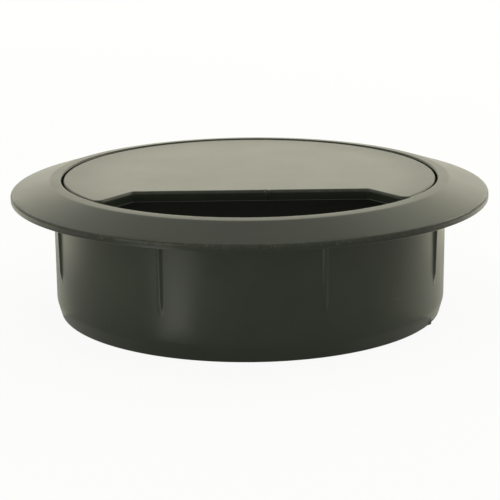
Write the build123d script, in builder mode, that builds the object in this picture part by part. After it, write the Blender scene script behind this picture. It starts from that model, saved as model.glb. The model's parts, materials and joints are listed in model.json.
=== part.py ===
from build123d import *
from math import atan2, cos, radians, sin, sqrt, tan
import os

# Desk cable grommet: a flanged liner that drops into a hole in a desk top, and a slotted cap
# that snaps into it and turns. Millimetres. Z is the axis, the skirt stands on Z = 0 and the
# cable slot opens towards -Y.

# Fit in the desk
hole_diameter = 80.0
skirt_clearance = 0.5  # between the skirt and the hole, all round
rib_entry = 0.15  # between the hole and the crush ribs, at their lower ends
rib_bite = 0.1  # how far they press into the hole at the desk's surface

# Liner
skirt_depth = 23.35  # below the desk's surface
wall = 1.65
lead_in_height = 3.0  # taper at the skirt's lower end
lead_in_depth = 0.8
lead_in_blend = 4.0
flange_overhang = 8.5  # from the skirt to the flange's edge
flange_height = 3.95  # above the desk's surface
flange_wall = 1.7  # over the hollow underneath
seat_land = 2.3  # width of the ring that lies on the desk
edge_height = 1.3
edge_round = 0.8
lip_width = 2.3  # ring round the cap, to where the slope begins
lip_fall = 0.16  # of that ring, outwards
lip_blend = 0.3  # reach of the round between lip and slope, each way
lip_break = 0.3  # chamfer of the lip's inner edge
ledge_width = 1.8  # shelf that carries the cap
ledge_height = 0.8

# Crush ribs on the skirt
rib_count = 8
rib_width = 1.4
rib_length = 14.5  # below the desk's surface
rib_run_out = 1.5
rib_crest = 0.2  # level strip that the rounds leave along the top
rib_turn = -3.3  # of the ring of ribs from the slot's middle, in degrees

# Cap
cap_thickness = 2.1
cap_gap = 0.35  # between the cap's edge and the lip
cap_recess = 0.15  # of the cap's top below the lip
cap_edge_round = 0.6
seat_clearance = 0.05  # between the cap and the ledge
slot_setback = 15.2  # from the axis to the slot's straight edge
slot_length = 45.4  # of the straight edge
slot_end_angle = 53.0  # of the slot's ends to the straight edge
slot_corner_round = 0.8
tip_round = 1.5

# Snap rim under the cap
rim_clearance = 0.3  # to the ledge
rim_wall = 1.5
rim_tail = 3.0  # below the snap bead
rim_end_gap = 3.0  # from the slot's ends
snap_catch = 0.3  # reach of the bead behind the ledge
snap_clearance = 0.2  # under the ledge
snap_lead = 1.4  # height of the bead's entry slope

# Radii
skirt_radius = hole_diameter / 2 - skirt_clearance
skirt_inner = skirt_radius - wall
flange_radius = skirt_radius + flange_overhang
slope_radius = skirt_inner + lip_width
ledge_radius = skirt_inner - ledge_width
cap_radius = skirt_inner - cap_gap
rim_radius = ledge_radius - rim_clearance
bead_radius = ledge_radius + snap_catch

# Levels
desk_level = skirt_depth
lip_level = desk_level + flange_height
hollow_level = lip_level - flange_wall
cap_level = lip_level - cap_recess
plate_level = cap_level - cap_thickness
ledge_level = plate_level - seat_clearance
ledge_corner = ledge_level - ledge_height
ledge_root = ledge_corner - ledge_width
snap_drop = snap_clearance * sqrt(2)  # the ledge is undercut at 45 degrees
bead_crest = ledge_corner - snap_catch - snap_drop
bead_top = ledge_corner + rim_clearance - snap_drop
bead_foot = bead_crest - snap_lead
rim_foot = bead_foot - rim_tail

slope_angle = atan2(flange_height - lip_fall - edge_height, flange_radius - slope_radius)
lip_angle = atan2(lip_fall, lip_width - lip_break)
lip_blend_radius = lip_blend / tan((slope_angle - lip_angle) / 2)

# One crush rib, on the +X side: a rounded wedge that enters the hole freely and bites at the
# desk's surface. It runs on up to the roof of the flange's hollow.
rib_root = skirt_radius - wall / 2
rib_foot = desk_level - rib_length
rib_full = rib_foot + rib_run_out
rib_low = hole_diameter / 2 - rib_entry
rib_slope = (rib_entry + rib_bite) / (desk_level - rib_full)
rib_top = hollow_level + flange_wall / 2
rib_high = rib_low + rib_slope * (rib_top - rib_full)

with BuildPart() as rib:
    with BuildSketch(Plane.XZ):
        with BuildLine():
            Polyline(
                (rib_root, rib_top),
                (rib_high, rib_top),
                (rib_low, rib_full),
                (skirt_radius, rib_foot),
                (rib_root, rib_foot),
                close=True,
            )
        make_face()
    extrude(amount=rib_width / 2, both=True)
    crest = rib.faces().sort_by(Axis.X)[-1]
    fillet(crest.edges().sort_by(SortBy.LENGTH)[-2:], radius=(rib_width - rib_crest) / 2)

# Liner: skirt, hollow flange, lip and ledge are one turned section. Each corner has its round,
# 0 where it stays sharp.
liner_section = [
    ((skirt_inner, 0), 0),
    ((skirt_radius - lead_in_depth, 0), 0),
    ((skirt_radius, lead_in_height), lead_in_blend),
    ((skirt_radius, hollow_level), 0),
    ((flange_radius - seat_land, desk_level), 0),
    ((flange_radius, desk_level), 0),
    ((flange_radius, desk_level + edge_height), edge_round),
    ((slope_radius, lip_level - lip_fall), lip_blend_radius),
    ((skirt_inner + lip_break, lip_level), 0),
    ((skirt_inner, lip_level - lip_break), 0),
    ((skirt_inner, ledge_level), 0),
    ((ledge_radius, ledge_level), 0),
    ((ledge_radius, ledge_corner), 0),
    ((skirt_inner, ledge_root), 0),
]
first_rib = rib_turn - 90 + 180 / rib_count

with BuildPart() as liner:
    with BuildSketch(Plane.XZ):
        with BuildLine():
            FilletPolyline(
                *[corner for corner, bend in liner_section],
                radius=[bend for corner, bend in liner_section],
                close=True,
            )
        make_face()
    revolve(axis=Axis.Z)
    with PolarLocations(0, rib_count, start_angle=first_rib):
        add(rib.part)

# Slot outline: a straight edge and two slanted ends that run out past the cap's edge
end_run = cap_radius
slot_half = slot_length / 2
slot_mouth = slot_half + end_run * cos(radians(slot_end_angle))
slot_front = -slot_setback - end_run * sin(radians(slot_end_angle))
slot_corners = [
    (-slot_mouth, slot_front),
    (-slot_half, -slot_setback),
    (slot_half, -slot_setback),
    (slot_mouth, slot_front),
]

# Cap: the snap rim is turned and opened in front, then the slotted plate goes on top of it
rim_top = plate_level + cap_thickness / 2
rim_section = [
    (rim_radius - rim_wall, rim_top),
    (rim_radius - rim_wall, rim_foot),
    (rim_radius, rim_foot),
    (rim_radius, bead_foot),
    (bead_radius, bead_crest),
    (rim_radius, bead_top),
    (rim_radius, rim_top),
]

with BuildPart() as cap:
    with BuildSketch(Plane.XZ):
        with BuildLine():
            Polyline(*rim_section, close=True)
        make_face()
    revolve(axis=Axis.Z)
    with BuildSketch(Plane.XY.offset(rim_foot)):
        with BuildLine():
            Polyline(*slot_corners, close=True)
        make_face()
        offset(amount=rim_end_gap)
    extrude(amount=lip_level - rim_foot, mode=Mode.SUBTRACT)
    with BuildSketch(Plane.XY.offset(plate_level)) as plan:
        Circle(cap_radius)
        with BuildLine():
            FilletPolyline(
                *slot_corners,
                radius=[0, slot_corner_round, slot_corner_round, 0],
                close=True,
            )
        make_face(mode=Mode.SUBTRACT)
        fillet(plan.vertices().sort_by(Axis.Y)[:2], radius=tip_round)
    extrude(amount=cap_thickness)
    fillet(cap.faces().sort_by(Axis.Z)[-1].edges(), radius=cap_edge_round)

os.makedirs("parts", exist_ok=True)
liner.part.label = "liner"
export_step(liner.part, "parts/liner.step")
cap.part.label = "cap"
export_step(cap.part, "parts/cap.step")
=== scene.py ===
import json
import math
import bmesh
import bpy
from mathutils import Matrix, Vector


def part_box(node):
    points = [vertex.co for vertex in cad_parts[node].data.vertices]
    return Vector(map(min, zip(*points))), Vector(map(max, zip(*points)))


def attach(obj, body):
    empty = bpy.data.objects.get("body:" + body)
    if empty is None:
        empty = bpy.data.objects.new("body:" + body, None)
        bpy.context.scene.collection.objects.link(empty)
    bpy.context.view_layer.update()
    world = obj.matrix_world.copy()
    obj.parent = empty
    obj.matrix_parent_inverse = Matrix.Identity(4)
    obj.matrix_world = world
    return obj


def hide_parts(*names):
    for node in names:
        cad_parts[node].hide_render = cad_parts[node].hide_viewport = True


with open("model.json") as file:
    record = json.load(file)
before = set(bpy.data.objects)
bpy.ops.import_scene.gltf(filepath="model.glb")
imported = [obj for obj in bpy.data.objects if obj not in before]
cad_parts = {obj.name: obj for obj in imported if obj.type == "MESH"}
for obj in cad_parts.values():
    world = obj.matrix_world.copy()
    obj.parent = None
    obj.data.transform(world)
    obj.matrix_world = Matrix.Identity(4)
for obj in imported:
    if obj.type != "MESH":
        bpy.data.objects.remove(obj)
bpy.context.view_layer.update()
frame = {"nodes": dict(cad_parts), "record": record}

mm = 0.001
scene = bpy.context.scene
scene.view_settings.view_transform = "Standard"
print("frame:", ", ".join(sorted(frame["nodes"])))

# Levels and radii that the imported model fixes
mounts = {mount["name"]: mount for mount in frame["record"]["mounts"]}
deskLevel = mounts["flange_seat"]["pos_m"][2]
holeRadius = mounts["desk_hole"]["dims"]["r_mm"] * mm
ribLength = mounts["desk_hole"]["dims"]["length_mm"] * mm
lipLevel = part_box("liner")[1].z
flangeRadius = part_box("liner")[1].x
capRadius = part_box("cap")[1].x
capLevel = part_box("cap")[1].z
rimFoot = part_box("cap")[0].z


# Node trees written as expressions

class Term:  # one output socket that takes part in sums
    def __init__(self, graph, socket):
        self.graph = graph
        self.socket = socket

    def math(self, operation, *others):
        return self.graph.math(operation, self, *others)

    def __add__(self, other):
        return self.graph.math("ADD", self, other)

    def __sub__(self, other):
        return self.graph.math("SUBTRACT", self, other)

    def __rsub__(self, other):
        return self.graph.math("SUBTRACT", other, self)

    def __mul__(self, other):
        return self.graph.math("MULTIPLY", self, other)

    def __truediv__(self, other):
        return self.graph.math("DIVIDE", self, other)

    def __rtruediv__(self, other):
        return self.graph.math("DIVIDE", other, self)

    __radd__ = __add__
    __rmul__ = __mul__


class Graph:
    def __init__(self, tree):
        self.tree = tree
        tree.nodes.clear()

    def node(self, kind, settings, sockets, out=0):
        made = self.tree.nodes.new(kind)
        for name, value in settings.items():
            setattr(made, name, value)
        for name, value in sockets.items():
            if isinstance(value, Term):
                self.tree.links.new(value.socket, made.inputs[name])
            else:
                made.inputs[name].default_value = value
        return Term(self, made.outputs[out]) if made.outputs else made

    def math(self, operation, *values):
        return self.node("ShaderNodeMath", {"operation": operation}, dict(enumerate(values)))

    def smooth(self, value, low, high):  # 0 at low, 1 at high
        ends = {"Value": value, "From Min": low, "From Max": high}
        return self.node("ShaderNodeMapRange", {"interpolation_type": "SMOOTHSTEP"}, ends)

    def mixColour(self, share, first, second):
        ends = {0: share, 6: first, 7: second}  # the node's colour sockets, by index
        return self.node("ShaderNodeMix", {"data_type": "RGBA"}, ends, 2)

    def split(self, vector):
        parts = self.node("ShaderNodeSeparateXYZ", {}, {0: vector})
        return [Term(self, socket) for socket in parts.socket.node.outputs]


# Black plastic

plastic = {
    "dark": (0.0145, 0.0193, 0.0134, 1),
    "pale": (0.0176, 0.0230, 0.0159, 1),
    "bare": (0.0105, 0.0130, 0.0105, 1),  # painted shade on the flange's edge face
    # pale colour of dust and wear, also used for the painted highlight on the flange's corner
    "dust": (0.30, 0.29, 0.25, 1),
    "ior": 1.35,
    "mirrorTone": (1.0, 1.0, 0.94, 1),
    "roughness": 0.33,
    "roughnessSwing": 0.06,
    "dullRoughness": 0.04,  # more of it at the cap's edge and on the lip's sides
    "grain": (0.16 * mm, 2, 0.5),  # size, detail and roughness of the noise
    "grainDepth": 0.006 * mm,
    "flow": (9 * mm, 3, 0.5),
    "flowRange": (0.3, 0.7),
    "flowDepth": 0.003 * mm,
    "speckSpacing": 5.5 * mm,
    "speckRadius": 0.11 * mm,
    "speckRange": (0.55, 0.75),
    "speckShare": 0.5,
    "scuff": (1.3 * mm, 6, 0.7),  # rubbed stretches of the edges
    "scuffRange": (0.42, 0.62),
    "scuffShare": 0.05,
    "nicks": (0.5 * mm, 1, 0.5),  # pale nicks on the edges
    "nickRange": (0.66, 0.74),
    "nickShare": 0.12,
    "scrapeShare": 0.11,
}


def noise(graph, place, size, detail, rough):
    sockets = {"Vector": place, "Scale": 1 / size, "Detail": detail, "Roughness": rough}
    return graph.node("ShaderNodeTexNoise", {"noise_dimensions": "3D"}, sockets)


def blackPlastic(name, edges):  # edges makes the masks of worn, dull and other places
    material = bpy.data.materials.new(name)
    material.use_nodes = True
    graph = Graph(material.node_tree)
    place = graph.node("ShaderNodeTexCoord", {}, {}, "Object")
    x, y, z = graph.split(place)
    masks = edges(graph, x, y, z)
    worn = masks["worn"]

    flow = noise(graph, place, *plastic["flow"])
    scuff = noise(graph, place, *plastic["scuff"])
    nicks = noise(graph, place, *plastic["nicks"])
    grain = noise(graph, place, *plastic["grain"])

    # sparse dust: a few cells of a grid hold one speck each
    spacing = plastic["speckSpacing"]
    cells = graph.node("ShaderNodeTexVoronoi", {}, {"Vector": place, "Scale": 1 / spacing})
    chance = graph.split(Term(graph, cells.socket.node.outputs["Color"]))[0]
    near = 1 - graph.smooth(cells, 0, plastic["speckRadius"] / spacing)
    dust = near * graph.smooth(chance, *plastic["speckRange"])

    rubbed = worn * graph.smooth(scuff, *plastic["scuffRange"])
    nicked = worn * graph.smooth(nicks, *plastic["nickRange"])
    clouded = graph.smooth(flow, *plastic["flowRange"])
    tone = graph.mixColour(clouded, plastic["dark"], plastic["pale"])
    # painted shade: the flange's edge face gets a darker tone
    if "bare" in masks:
        tone = graph.mixColour(masks["bare"], tone, plastic["bare"])
    tone = graph.mixColour(rubbed * plastic["scuffShare"], tone, plastic["dust"])
    tone = graph.mixColour(nicked * plastic["nickShare"], tone, plastic["dust"])
    # painted highlight: a pale line along the flange's corner
    if "scraped" in masks:
        tone = graph.mixColour(masks["scraped"] * plastic["scrapeShare"], tone, plastic["dust"])
    tone = graph.mixColour(dust * plastic["speckShare"], tone, plastic["dust"])

    swing = plastic["roughnessSwing"]
    roughness = plastic["roughness"] + (flow - 0.5) * swing + (grain - 0.5) * swing - rubbed * swing
    roughness += masks["dull"] * plastic["dullRoughness"]
    height = grain * plastic["grainDepth"] + flow * plastic["flowDepth"]
    bumped = graph.node("ShaderNodeBump", {}, {"Strength": 1, "Distance": 1, "Height": height})
    shader = graph.node("ShaderNodeBsdfPrincipled", {}, {
        "Base Color": tone,
        "Roughness": roughness,
        "IOR": plastic["ior"],
        "Specular Tint": plastic["mirrorTone"],
        "Normal": bumped,
    })
    graph.node("ShaderNodeOutputMaterial", {}, {"Surface": shader})
    return material


# Shared mesh steps

def link(name, data):
    made = bpy.data.objects.new(name, data)
    scene.collection.objects.link(made)
    return made


def baked(source, name):  # the evaluated object as a plain mesh of its own
    depsgraph = bpy.context.evaluated_depsgraph_get()
    mesh = bpy.data.meshes.new_from_object(source.evaluated_get(depsgraph))
    mesh.name = name
    source.modifiers.clear()
    bpy.data.objects.remove(source)
    return link(name, mesh)


def evenNormals(made):  # flat faces stay flat next to their rounds
    weighted = made.modifiers.new("even_normals", "WEIGHTED_NORMAL")
    weighted.mode = "FACE_AREA"
    weighted.keep_sharp = True


def arc(centre, radius, start, end, steps):
    turns = [start + (end - start) * i / steps for i in range(steps + 1)]
    return [centre + radius * Vector((math.cos(turn), math.sin(turn))) for turn in turns]


# Liner: a turned section, with a ring of crush ribs raised on its skirt

liner = {
    "skirtRadius": holeRadius - 0.5 * mm,
    "wall": 1.65 * mm,
    "leadInHeight": 3.0 * mm,
    "leadInDepth": 0.8 * mm,
    "leadInBlend": 4.0 * mm,
    "footRound": 0.35 * mm,
    "flangeWall": 1.7 * mm,
    "seatLand": 2.3 * mm,
    "edgeHeight": 1.3 * mm,
    "edgeRound": 0.5 * mm,
    "lowerEdgeRound": 0.28 * mm,
    "hollowRound": 0.4 * mm,
    "lipWidth": 2.3 * mm,
    "lipFall": 0.16 * mm,
    "lipBlend": 0.3 * mm,
    "lipBreak": 0.3 * mm,
    "lipRound": 0.3 * mm,
    "ledgeDepth": 2.3 * mm,  # below the lip
    "ledgeWidth": 1.8 * mm,
    "ledgeHeight": 0.8 * mm,
    "innerRound": 0.15 * mm,
    "arcStep": math.radians(16),  # longest step of a round in the mesh
    "leastSteps": 3,
    "longestRun": 0.9 * mm,  # between two points of a straight line
    "weld": 0.001 * mm,
    "ribCount": 8,
    "ribColumns": 72,  # of the mesh, from rib to rib
    "ribGather": 0.85,  # how far the columns crowd at the ribs, below 1
    "ribTurn": math.radians(-3.3),
    "ribWidth": 1.4 * mm,
    "ribCrest": 0.2 * mm,
    "ribEntry": 0.15 * mm,
    "ribBite": 0.1 * mm,
    "ribRunOut": 1.5 * mm,
    "ribSlack": 0.01 * mm,  # how far inside the skirt's radius a point still carries a rib
    "flashTurn": math.radians(-25.7),  # scrap of flash at the foot
    "flashWidth": 0.9 * mm,
    "flashReach": 0.35 * mm,
    "flashLow": 0.3 * mm,  # it fades from this level to the next
    "flashHigh": 1.3 * mm,
    "flashDepth": 1.0 * mm,  # how far inside the skirt's radius it starts
    # places of the wear, the painted shade, the painted highlight and the dull lip, a pair for the
    # two ends of a soft step
    "rimWear": (0.15 * mm, 0.9 * mm),  # off the flange's edge
    "lipWear": (0.5 * mm, 1.1 * mm),  # off the cap's radius
    "wearLevels": (0.4 * mm, 0.8 * mm),  # above the desk
    "bareEdge": (-0.4 * mm, -0.1 * mm),  # off the flange's edge, where the painted shade lies
    "dullLip": (0.9 * mm, 1.4 * mm),  # off the lip's middle
    "dullSides": (22 * mm, 36 * mm),  # off the axis, to both sides
    "scrapeTurn": math.radians(-23),  # painted highlight, a pale line along the flange's corner
    "scrapeEnds": (4.5 * mm, 7.5 * mm),  # off its middle, along the edge
    "scrapeDrop": 0.3 * mm,  # below the corner
    "scrapeHeight": (0.04 * mm, 0.12 * mm),
    "scrapeEdge": (-0.7 * mm, -0.5 * mm),  # off the flange's edge
}


def roundedSection(corners):  # corners as (radius, level, bend), closed
    points = []
    for i, (radius, level, bend) in enumerate(corners):
        here = Vector((radius, level))
        back = (Vector(corners[i - 1][:2]) - here).normalized()
        ahead = (Vector(corners[(i + 1) % len(corners)][:2]) - here).normalized()
        half = back.angle(ahead) / 2
        centre = here + (back + ahead).normalized() * bend / math.sin(half)
        start = here + back * bend / math.tan(half) - centre
        turn = start.angle_signed(ahead * bend / math.tan(half) + here - centre)
        steps = max(liner["leastSteps"], math.ceil(abs(turn) / liner["arcStep"]))
        first = math.atan2(start.y, start.x)
        points += arc(centre, bend, first, first - turn, steps)
    return points


def runPoints(points, longest):  # long straight runs get points in between
    split = []
    for i, point in enumerate(points):
        follower = points[(i + 1) % len(points)]
        parts = max(1, math.ceil((follower - point).length / longest))
        split += [point.lerp(follower, k / parts) for k in range(parts)]
    return split


def linerSection():
    skirt = liner["skirtRadius"]
    inner = skirt - liner["wall"]
    slope = inner + liner["lipWidth"]
    hollow = lipLevel - liner["flangeWall"]
    ledge = lipLevel - liner["ledgeDepth"]
    shelf = inner - liner["ledgeWidth"]
    fine = liner["innerRound"]
    lipEnd = lipLevel - liner["lipFall"]
    crest = inner + liner["lipBreak"]
    fall = math.atan2(lipEnd - deskLevel - liner["edgeHeight"], flangeRadius - slope)
    fall -= math.atan2(liner["lipFall"], slope - crest)
    corners = [
        (inner, 0, liner["footRound"]),
        (skirt - liner["leadInDepth"], 0, liner["footRound"]),
        (skirt, liner["leadInHeight"], liner["leadInBlend"]),
        (skirt, hollow, liner["hollowRound"]),
        (flangeRadius - liner["seatLand"], deskLevel, fine),
        (flangeRadius, deskLevel, liner["lowerEdgeRound"]),
        (flangeRadius, deskLevel + liner["edgeHeight"], liner["edgeRound"]),
        (slope, lipEnd, liner["lipBlend"] / math.tan(fall / 2)),
        (crest, lipLevel, liner["lipRound"]),
        (inner, lipLevel - liner["lipBreak"], liner["lipRound"]),
        (inner, ledge, fine),
        (shelf, ledge, fine),
        (shelf, ledge - liner["ledgeHeight"], fine),
        (inner, ledge - liner["ledgeHeight"] - liner["ledgeWidth"], fine),
    ]
    points = runPoints(roundedSection(corners), liner["longestRun"])
    mesh = bpy.data.meshes.new("liner_section")
    edges = [(i, (i + 1) % len(points)) for i in range(len(points))]
    mesh.from_pydata([(point.x, 0, point.y) for point in points], edges, [])
    return mesh


def turnedTree(name, inputs):
    # turns the section round Z: a grid of columns and rows takes its radius and level from it
    tree = bpy.data.node_groups.new(name, "GeometryNodeTree")
    sockets = tree.interface
    sockets.new_socket("Section", in_out="INPUT", socket_type="NodeSocketGeometry")
    for label, setting in inputs.items():
        sockets.new_socket(label, in_out="INPUT", socket_type=setting[0])
    sockets.new_socket("Liner", in_out="OUTPUT", socket_type="NodeSocketGeometry")
    graph = Graph(tree)
    start = graph.node("NodeGroupInput", {}, {}).socket.node
    given = {socket.name: Term(graph, socket) for socket in start.outputs}
    section = given["Section"]
    count = given["Rib Count"]

    kind = "GeometryNodeAttributeDomainSize"
    rows = graph.node(kind, {"component": "MESH"}, {0: section}, "Point Count")
    columns = count * given["Columns"]
    counts = {"Size X": 1.0, "Size Y": 1.0, "Vertices X": columns + 1, "Vertices Y": rows + 1}
    grid = graph.node("GeometryNodeMeshGrid", {}, counts)
    index = graph.node("GeometryNodeInputIndex", {}, {})
    column = (index / (rows + 1)).math("FLOOR")
    row = (index - column * (rows + 1)).math("MODULO", rows)
    position = graph.node("GeometryNodeInputPosition", {}, {})
    sampled = {"Geometry": section, "Value": position, "Index": row}
    point = graph.node("GeometryNodeSampleIndex", {"data_type": "FLOAT_VECTOR"}, sampled)
    radius, level = graph.split(point)[::2]

    # columns crowd towards the ribs, which stand in the middle of each sector
    sector = column / given["Columns"]
    order = (sector + 0.5).math("FLOOR")
    share = (sector - order) * 2
    crowded = share * (1 - given["Gather"]) + share * share * share * given["Gather"]
    pitch = 2 * math.pi / count
    angle = given["First Rib"] + (order + crowded / 2) * pitch
    aside = (crowded / 2 * pitch * given["Skirt Radius"]).math("ABSOLUTE")

    # rib: a wedge with soft shoulders that runs out at its foot
    rise = given["Rib Low"] + given["Rib Slope"] * (level - given["Rib Full"])
    runOut = given["Rib Low"] * (level - given["Rib Foot"]) / (given["Rib Full"] - given["Rib Foot"])
    crest = rise.math("MINIMUM", runOut)
    shoulder = (given["Rib Width"] - given["Rib Crest"]) / 2
    over = (aside - given["Rib Crest"] / 2).math("MAXIMUM", 0)
    bump = crest * (1 - graph.smooth(over, 0, shoulder))
    outside = radius.math("GREATER_THAN", given["Skirt Radius"] - liner["ribSlack"])
    below = level.math("LESS_THAN", given["Hollow Level"])
    raised = (given["Skirt Radius"] + bump - radius).math("MAXIMUM", 0) * outside * below
    # flash: a scrap of plastic that sticks out at the foot
    astray = ((angle - given["Flash Turn"]) * given["Skirt Radius"]).math("ABSOLUTE")
    scrap = (1 - astray / given["Flash Width"]).math("MAXIMUM", 0) * given["Flash Reach"]
    lowest = 1 - graph.smooth(level, given["Flash Low"], given["Flash High"])
    outer = radius.math("GREATER_THAN", given["Skirt Radius"] - given["Flash Depth"])
    reach = radius + raised + scrap * lowest * outer

    turned = graph.node("ShaderNodeCombineXYZ", {}, {
        "X": reach * angle.math("COSINE"),
        "Y": reach * angle.math("SINE"),
        "Z": level,
    })
    placed = graph.node("GeometryNodeSetPosition", {}, {"Geometry": grid, "Position": turned})
    welded = {"Geometry": placed, "Distance": liner["weld"]}
    closed = graph.node("GeometryNodeMergeByDistance", {}, welded)
    smooth = graph.node("GeometryNodeSetShadeSmooth", {}, {"Geometry": closed})
    real = graph.node("GeometryNodeRealizeInstances", {}, {"Geometry": smooth})
    dressed = {"Geometry": real, "Material": given["Plastic"]}
    done = graph.node("GeometryNodeSetMaterial", {}, dressed)
    graph.node("NodeGroupOutput", {}, {"Liner": done})
    return tree


def linerEdges(graph, x, y, z):  # worn corner and lip, painted shade on the edge face, painted highlight along the corner, dull sides of the lip
    radius = (x * x + y * y).math("SQRT")
    off = radius - flangeRadius
    corner = deskLevel + liner["edgeHeight"]
    lipMiddle = liner["skirtRadius"] - liner["wall"] + liner["lipWidth"] / 2

    rim = 1 - graph.smooth(off.math("ABSOLUTE"), *liner["rimWear"])
    lip = 1 - graph.smooth((radius - capRadius).math("ABSOLUTE"), *liner["lipWear"])
    upper = graph.smooth(z - deskLevel, *liner["wearLevels"])
    lower = 1 - graph.smooth(z, corner - liner["edgeRound"], corner)
    # painted shade on the edge face, below the corner's round
    bare = graph.smooth(off, *liner["bareEdge"]) * lower

    # painted highlight: a short pale line just below the flange's corner
    turn = graph.math("ARCTAN2", x, 0 - y)
    along = ((turn - liner["scrapeTurn"]) * flangeRadius).math("ABSOLUTE")
    level = (z - corner + liner["scrapeDrop"]).math("ABSOLUTE")
    scraped = 1 - graph.smooth(along, *liner["scrapeEnds"])
    scraped *= 1 - graph.smooth(level, *liner["scrapeHeight"])
    scraped *= graph.smooth(off, *liner["scrapeEdge"])

    dull = 1 - graph.smooth((radius - lipMiddle).math("ABSOLUTE"), *liner["dullLip"])
    dull *= graph.smooth(x.math("ABSOLUTE"), *liner["dullSides"])
    worn = (rim + lip).math("MINIMUM", 1) * upper
    return {"worn": worn, "bare": bare, "scraped": scraped, "dull": dull}


def makeLiner():
    ribFoot = deskLevel - ribLength
    ribFull = ribFoot + liner["ribRunOut"]
    ribSlope = (liner["ribEntry"] + liner["ribBite"]) / (deskLevel - ribFull)
    firstRib = liner["ribTurn"] - math.pi / 2 + math.pi / liner["ribCount"]
    inputs = {
        "Columns": ("NodeSocketInt", liner["ribColumns"]),
        "Gather": ("NodeSocketFloat", liner["ribGather"]),
        "Skirt Radius": ("NodeSocketFloat", liner["skirtRadius"]),
        "Hollow Level": ("NodeSocketFloat", lipLevel - liner["flangeWall"]),
        "Rib Count": ("NodeSocketInt", liner["ribCount"]),
        "First Rib": ("NodeSocketFloat", firstRib),
        "Rib Width": ("NodeSocketFloat", liner["ribWidth"]),
        "Rib Crest": ("NodeSocketFloat", liner["ribCrest"]),
        "Rib Foot": ("NodeSocketFloat", ribFoot),
        "Rib Full": ("NodeSocketFloat", ribFull),
        "Rib Low": ("NodeSocketFloat", holeRadius - liner["ribEntry"] - liner["skirtRadius"]),
        "Rib Slope": ("NodeSocketFloat", ribSlope),
        "Flash Turn": ("NodeSocketFloat", liner["flashTurn"]),
        "Flash Width": ("NodeSocketFloat", liner["flashWidth"]),
        "Flash Reach": ("NodeSocketFloat", liner["flashReach"]),
        "Flash Low": ("NodeSocketFloat", liner["flashLow"]),
        "Flash High": ("NodeSocketFloat", liner["flashHigh"]),
        "Flash Depth": ("NodeSocketFloat", liner["flashDepth"]),
        "Plastic": ("NodeSocketMaterial", linerPlastic),
    }
    source = link("liner_section", linerSection())
    turned = source.modifiers.new("turned_liner", "NODES")
    turned.node_group = turnedTree("turned_liner", inputs)
    for socket in turned.node_group.interface.items_tree:
        if socket.name in inputs:
            turned[socket.identifier] = inputs[socket.name][1]
    evenNormals(source)
    return baked(source, "liner_moulding")


linerPlastic = blackPlastic("liner_plastic", linerEdges)
linerPiece = makeLiner()
print("liner:", len(linerPiece.data.polygons), "faces")


# Cap: a slotted plate with rounded edges over an open snap rim

cap = {
    "thickness": 2.1 * mm,
    "topRound": 0.6 * mm,
    "lowerRound": 0.25 * mm,
    "slotSetback": 15.2 * mm,
    "slotLength": 45.4 * mm,
    "slotEndAngle": math.radians(53),
    "slotCornerRound": 0.8 * mm,
    "tipRound": 1.5 * mm,
    "gateX": 3.45 * mm,  # scar of the gate on the slot's straight edge
    "gateWidth": 0.6 * mm,
    "gateReach": 0.2 * mm,
    "nickX": 2.88 * mm,  # where its edge broke out, at the top
    "nickWidth": 0.45 * mm,
    "nickReach": 0.3 * mm,
    "notch": ((-0.5, 0), (-0.3, 1), (0.3, 1), (0.5, 0)),  # both, as shares of width and reach
    "rimRadius": 35.75 * mm,
    "rimWall": 1.5 * mm,
    "rimEndGap": 3.0 * mm,
    "beadReach": 0.6 * mm,
    "beadCrest": 3.53 * mm,  # below the cap's top
    "beadRise": 0.6 * mm,
    "beadLead": 1.4 * mm,
    "arcSteps": 220,
    "cornerSteps": 10,
    "roundSteps": 4,  # of the mesh, up a rounded edge
    "sharpAngle": math.radians(32),
    "wear": (0.1 * mm, 0.7 * mm),  # off the edges
    "wearLevels": (-0.6 * mm, -0.2 * mm),  # off the cap's top
    "dullRing": 9 * mm,  # width of the duller ring at the edge
}


def slotEnd(inset, bend, reach):
    # where a round of this bend touches the slot's end, set back by inset, and a circle of this reach
    turn = cap["slotEndAngle"]
    along = Vector((math.cos(turn), -math.sin(turn)))
    inward = Vector((math.sin(turn), math.cos(turn)))
    foot = Vector((cap["slotLength"] / 2, -cap["slotSetback"])) + inward * (inset + bend)
    half = foot.dot(along)
    run = -half + math.sqrt(half * half - foot.length_squared + (reach - bend) ** 2)
    return foot + along * run


def plateOutline(inset, nick):  # the plate's outline, drawn in by inset, anticlockwise
    turn = cap["slotEndAngle"]
    tip = slotEnd(0, cap["tipRound"], capRadius)
    tipTurn = math.atan2(tip.y, tip.x)
    tipBend = cap["tipRound"] - inset
    corner = Vector((cap["slotLength"] / 2, -cap["slotSetback"]))
    cornerRound = cap["slotCornerRound"]
    corner += Vector((-math.tan(turn / 2), -1)) * cornerRound
    cornerBend = cornerRound + inset
    steps = cap["cornerSteps"]
    mirror = Vector((-1, 1))
    upright = math.pi / 2
    points = arc(corner * mirror, cornerBend, upright + turn, upright, steps)
    for middle, width, reach in (
        (cap["nickX"], cap["nickWidth"], nick * cap["nickReach"]),
        (cap["gateX"], cap["gateWidth"], -cap["gateReach"]),
    ):
        for side, share in cap["notch"]:
            behind = inset - cap["slotSetback"] + share * reach
            points.append(Vector((middle + side * width, behind)))
    points += arc(corner, cornerBend, upright, upright - turn, steps)
    points += arc(tip, tipBend, -upright - turn, tipTurn, steps)
    edge = arc(Vector((0, 0)), capRadius - inset, tipTurn, math.pi - tipTurn, cap["arcSteps"])
    points += edge[1:-1]
    points += arc(tip * mirror, tipBend, math.pi - tipTurn, 3 * upright + turn, steps)
    return points


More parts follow.
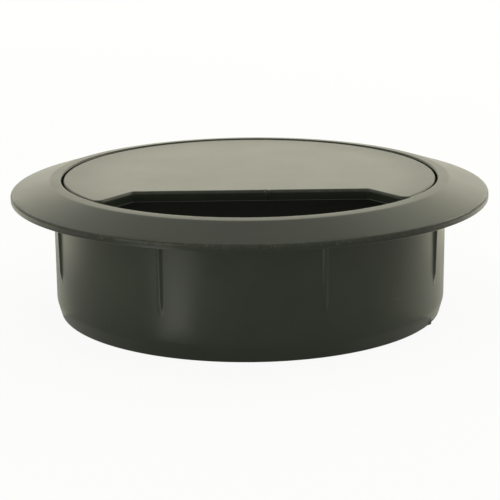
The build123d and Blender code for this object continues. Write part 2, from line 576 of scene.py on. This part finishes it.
def rimOutline(reach):  # outer and inner line of the snap rim, from end to end
    lines = []
    for radius in (reach, cap["rimRadius"] - cap["rimWall"]):
        end = slotEnd(cap["rimEndGap"], 0, radius)
        turn = math.atan2(end.y, end.x)
        lines.append(arc(Vector((0, 0)), radius, turn, math.pi - turn, cap["arcSteps"]))
    return lines


def addRing(mesh, points, level):
    return [mesh.verts.new((point.x, point.y, level)) for point in points]


def bridge(mesh, lower, upper):  # quads between two rings of equal length
    for i in range(len(lower)):
        k = (i + 1) % len(lower)
        mesh.faces.new((lower[i], lower[k], upper[k], upper[i]))


def capEdges(graph, x, y, z):  # worn edge and slot, dull ring
    radius = (x * x + y * y).math("SQRT")
    outer = 1 - graph.smooth((radius - capRadius).math("ABSOLUTE"), *cap["wear"])
    behind = y + cap["slotSetback"]
    beside = (x.math("ABSOLUTE") - cap["slotLength"] / 2) * math.sin(cap["slotEndAngle"])
    beside += behind * math.cos(cap["slotEndAngle"])
    slot = 1 - graph.smooth(behind.math("MAXIMUM", beside), *cap["wear"])
    upper = graph.smooth(z - capLevel, *cap["wearLevels"])
    worn = (outer + slot).math("MINIMUM", 1) * upper
    return {"worn": worn, "dull": graph.smooth(radius, capRadius - cap["dullRing"], capRadius)}


def makeCap():
    mesh = bmesh.new()
    plateLevel = capLevel - cap["thickness"]
    steps = cap["roundSteps"]
    quarter = [math.pi / 2 * i / steps for i in range(steps + 1)]
    levels = []  # inset, level, and how far the nick has opened
    for turn in quarter:
        bend = cap["lowerRound"]
        levels.append((bend * (1 - math.sin(turn)), plateLevel + bend * (1 - math.cos(turn)), 0))
    for turn in quarter:
        bend = cap["topRound"]
        inset = 1 - math.cos(turn)
        levels.append((bend * inset, capLevel + bend * (math.sin(turn) - 1), min(1, 2 * inset)))
    rings = [addRing(mesh, plateOutline(inset, nick), level) for inset, level, nick in levels]
    for i in range(len(rings) - 1):
        bridge(mesh, rings[i], rings[i + 1])
    mesh.faces.new(rings[-1])

    beadLevel = capLevel - cap["beadCrest"]
    rimLevels = [
        (0, plateLevel),
        (0, beadLevel + cap["beadRise"]),
        (cap["beadReach"], beadLevel),
        (0, beadLevel - cap["beadLead"]),
        (0, rimFoot),
    ]
    walls = []
    for reach, level in rimLevels:
        outer, inner = rimOutline(cap["rimRadius"] + reach)
        walls.append(addRing(mesh, outer + inner[::-1], level))
    for i in range(len(walls) - 1):
        bridge(mesh, walls[i + 1], walls[i])
    mesh.faces.new(walls[-1][::-1])

    loops = []
    for ring in (rings[0], walls[0]):
        loops += [mesh.edges.get((ring[i - 1], ring[i])) for i in range(len(ring))]
    bmesh.ops.triangle_fill(mesh, edges=loops, use_beauty=True, normal=(0, 0, -1))
    bmesh.ops.recalc_face_normals(mesh, faces=mesh.faces)
    for face in mesh.faces:
        face.smooth = True
    data = bpy.data.meshes.new("cap_source")
    mesh.to_mesh(data)
    mesh.free()
    data.set_sharp_from_angle(angle=cap["sharpAngle"])
    data.materials.append(capPlastic)
    source = link("cap_source", data)
    evenNormals(source)
    return baked(source, "cap_moulding")


capPlastic = blackPlastic("cap_plastic", capEdges)
capPiece = makeCap()
print("cap:", len(capPiece.data.polygons), "faces")

for piece, body in ((linerPiece, "liner"), (capPiece, "cap")):
    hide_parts(body)
    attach(piece, body)


# Studio: a white floor, a soft surround, softboxes, and cards for the skirt and the flange's edge

studio = {
    "white": (1, 1, 1, 1),
    "floorSize": 8.0,
    "floorColour": (0.90, 0.90, 0.89, 1),
    "shadowShare": 0.08,  # of the floor's look that takes shade
    "mirrorShare": 0.6,  # the same in reflections
    "mirroredWhite": (1.0, 1.0, 0.90, 1),
    "surround": (1.0, 1.0, 0.90, 1),
    "surroundStrength": 0.75,
    "mirroredStrength": 0.88,
    "cardLift": 0.5 * mm,  # of the cards off the floor
}

softboxes = {
    # azimuth from the camera's side, elevation, distance, width, height, brightness
    "back_softbox": (175, 17.5, 0.60, 0.62, 0.25, 1.17),
    "right_softbox": (123, 29, 0.50, 0.16, 0.13, 6.5),
    "right_wing": (158, 35, 0.60, 0.16, 0.10, 0.9),
    "front_left_softbox": (-53, 31, 0.55, 0.33, 0.12, 1.6),
    "horizon_strip": (178, 0.5, 0.60, 0.90, 0.07, 0.55),
    "left_card": (-111, -13.4, 0.0825, 0.055, 0.008, 1.2),
    "right_card": (113, -13.4, 0.0825, 0.05, 0.008, 1.3),
}
warmWhite = (1.0, 0.952, 0.71)
cardWhite = (1.0, 1.0, 0.95)

floorCards = {
    # azimuth of a place on the skirt, heading of the card from there, its distance, length and
    # width, its brightness and colour
    "front_card": (-20.9, -44.6, 14 * mm, 30 * mm, 12 * mm, 2.5, cardWhite),
    "front_card_end": (-20.9, -44.6, 44 * mm, 44 * mm, 30 * mm, 2.5, cardWhite),
    "left_floor_card": (-74, -148, 1 * mm, 50 * mm, 10 * mm, 0.4, warmWhite),
    "right_floor_card": (65, 127, 1 * mm, 61 * mm, 46 * mm, 0.42, warmWhite),
    "left_far_card": (-74, -110, 75 * mm, 90 * mm, 130 * mm, 0.75, warmWhite),
    "right_far_card": (74, 110, 75 * mm, 90 * mm, 130 * mm, 0.75, warmWhite),
    "left_back_card": (-74, -138, 110 * mm, 200 * mm, 300 * mm, 0.4, warmWhite),
    "right_back_card": (74, 138, 110 * mm, 200 * mm, 300 * mm, 0.4, warmWhite),
}


def rayKinds(graph):  # 1 for camera and glass rays, 1 for mirror rays
    path = graph.node("ShaderNodeLightPath", {}, {}).socket.node
    kinds = ("Is Camera Ray", "Is Transmission Ray", "Is Glossy Ray")
    straight, through, glossy = [Term(graph, path.outputs[kind]) for kind in kinds]
    seen = (straight + through).math("MINIMUM", 1)
    return seen, glossy * (1 - seen)


def makeFloor():
    side = studio["floorSize"] / 2
    mesh = bpy.data.meshes.new("floor")
    corners = [(-side, -side, 0), (side, -side, 0), (side, side, 0), (-side, side, 0)]
    mesh.from_pydata(corners, [], [(0, 1, 2, 3)])
    material = bpy.data.materials.new("floor_white")
    material.use_nodes = True
    graph = Graph(material.node_tree)
    paper = graph.node("ShaderNodeBsdfDiffuse", {}, {"Color": studio["floorColour"]})
    seen, mirrored = rayKinds(graph)
    tone = graph.mixColour(mirrored, studio["white"], studio["mirroredWhite"])
    glow = graph.node("ShaderNodeEmission", {}, {"Color": tone, "Strength": 1})
    share = seen * (1 - studio["shadowShare"]) + mirrored * (1 - studio["mirrorShare"])
    mixed = graph.node("ShaderNodeMixShader", {}, {0: share, 1: paper, 2: glow})
    graph.node("ShaderNodeOutputMaterial", {}, {"Surface": mixed})
    mesh.materials.append(material)
    floor = link("floor", mesh)


def makeSurround():
    world = bpy.data.worlds.new("surround")
    world.use_nodes = True
    graph = Graph(world.node_tree)
    soft = graph.node("ShaderNodeBackground", {}, {
        "Color": studio["surround"],
        "Strength": studio["surroundStrength"],
    })
    mirror = graph.node("ShaderNodeBackground", {}, {
        "Color": studio["surround"],
        "Strength": studio["mirroredStrength"],
    })
    white = graph.node("ShaderNodeBackground", {}, {"Color": studio["white"], "Strength": 1})
    seen, mirrored = rayKinds(graph)
    lit = graph.node("ShaderNodeMixShader", {}, {0: mirrored, 1: soft, 2: mirror})
    mixed = graph.node("ShaderNodeMixShader", {}, {0: seen, 1: lit, 2: white})
    graph.node("ShaderNodeOutputWorld", {}, {"Surface": mixed})
    scene.world = world


def softLamp(name, width, height, brightness, colour):
    lamp = bpy.data.lights.new(name, "AREA")
    lamp.shape = "RECTANGLE"
    lamp.size = width
    lamp.size_y = height
    lamp.energy = brightness * math.pi * width * height
    lamp.color = colour
    box = link(name, lamp)
    box.visible_camera = False
    return box


def makeSoftbox(name, azimuth, elevation, distance, width, height, brightness):
    box = softLamp(name, width, height, brightness, warmWhite)
    turn = Matrix.Rotation(math.radians(azimuth), 4, "Z")
    tilt = Matrix.Rotation(math.radians(90 - elevation), 4, "X")
    aim = Vector((0, 0, deskLevel))
    away = Matrix.Translation((0, 0, distance))
    box.matrix_world = Matrix.Translation(aim) @ turn @ tilt @ away


def makeFloorCard(name, azimuth, heading, start, length, width, brightness, colour):  # face up
    card = softLamp(name, width, length, brightness, colour)
    turn = Matrix.Rotation(math.radians(azimuth), 4, "Z")
    stand = turn @ Matrix.Translation((0, -liner["skirtRadius"], 0))
    head = Matrix.Rotation(math.radians(heading - azimuth), 4, "Z")
    away = Matrix.Translation((0, -start - length / 2, studio["cardLift"]))
    faceUp = Matrix.Rotation(math.pi, 4, "X")
    card.matrix_world = stand @ head @ away @ faceUp


makeFloor()
makeSurround()
for name, settings in softboxes.items():
    makeSoftbox(name, *settings)
for name, settings in floorCards.items():
    makeFloorCard(name, *settings)
print("studio:", len(softboxes) + len(floorCards), "lamps")


# Camera

view = {
    "frame": 500,  # pixels across
    "focal": 1630.5,  # pixels
    "sensor": 36,  # mm
    "clipStart": 0.01,
    "distance": 323.04 * mm,  # from the axis
    "height": 72.27 * mm,  # above the desk's surface
    "turn": math.radians(-1.0),
    "pitch": 0.2554,
    "roll": -0.0090,
}


def makeCamera():
    lens = bpy.data.cameras.new("camera")
    lens.sensor_width = view["sensor"]
    lens.lens = view["sensor"] * view["focal"] / view["frame"]
    lens.clip_start = view["clipStart"]
    camera = link("camera", lens)
    stand = Matrix.Translation((0, -view["distance"], deskLevel + view["height"]))
    turn = Matrix.Rotation(view["turn"], 4, "Z")
    aim = Matrix.Rotation(math.pi / 2 - view["pitch"], 4, "X")
    camera.matrix_world = turn @ stand @ aim @ Matrix.Rotation(view["roll"], 4, "Z")
    scene.camera = camera


makeCamera()
print("camera:", view["focal"], "pixels focal length")
